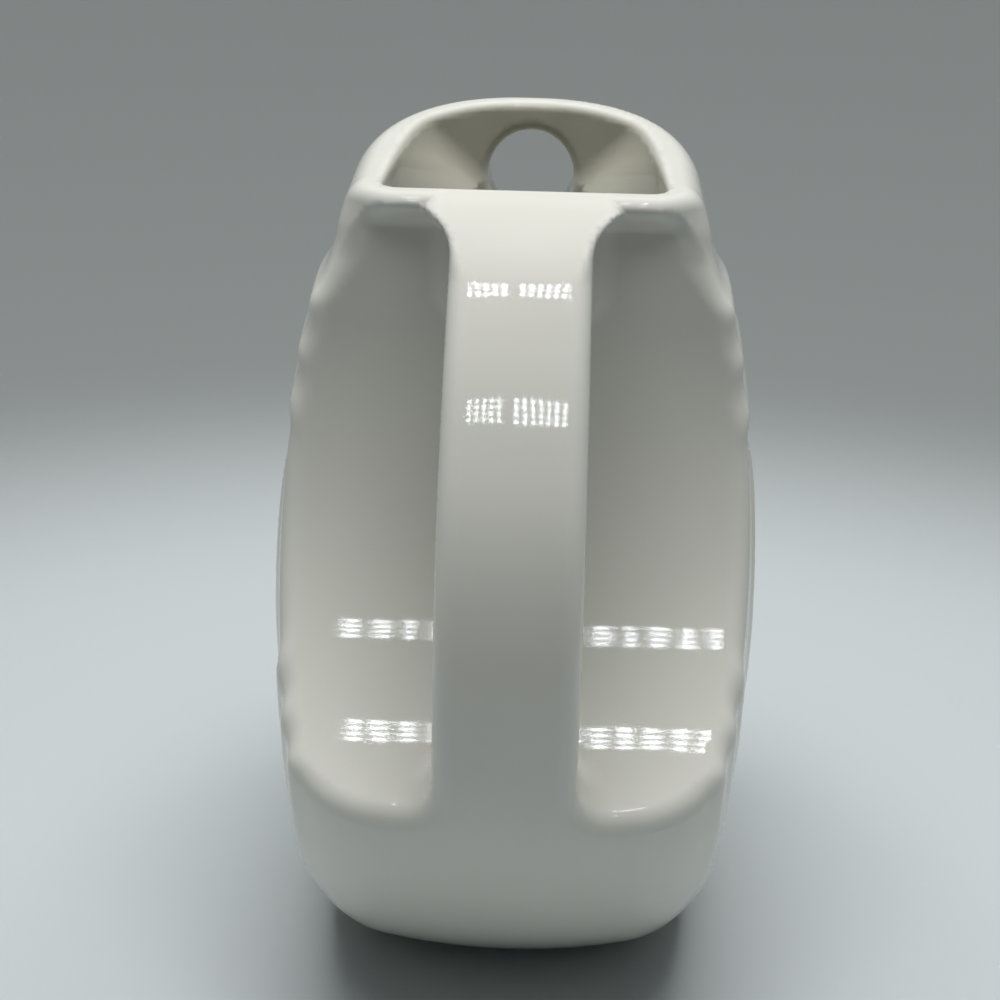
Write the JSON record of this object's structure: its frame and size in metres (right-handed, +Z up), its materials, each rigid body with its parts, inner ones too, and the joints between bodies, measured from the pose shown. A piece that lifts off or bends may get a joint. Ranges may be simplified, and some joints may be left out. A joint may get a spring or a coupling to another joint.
{
  "type": "pitcher",
  "caption": "Disc-shaped glazed ceramic pitcher with a flat strap handle, an oblong mouth, a round pouring nose and raised rings on its faces.",
  "frame": {"origin": "centre of the foot, on the table", "axes": "+Z up; +X across the two round faces; +Y from the handle towards the pouring nose"},
  "size_m": [0.1104, 0.1826, 0.1908],
  "materials": {
    "glaze": "glossy white glaze over slip-cast china, bare only where the foot was wiped"
  },
  "bodies": {
    "root": {"pitcher": "glaze"}
  },
  "joints": []
}
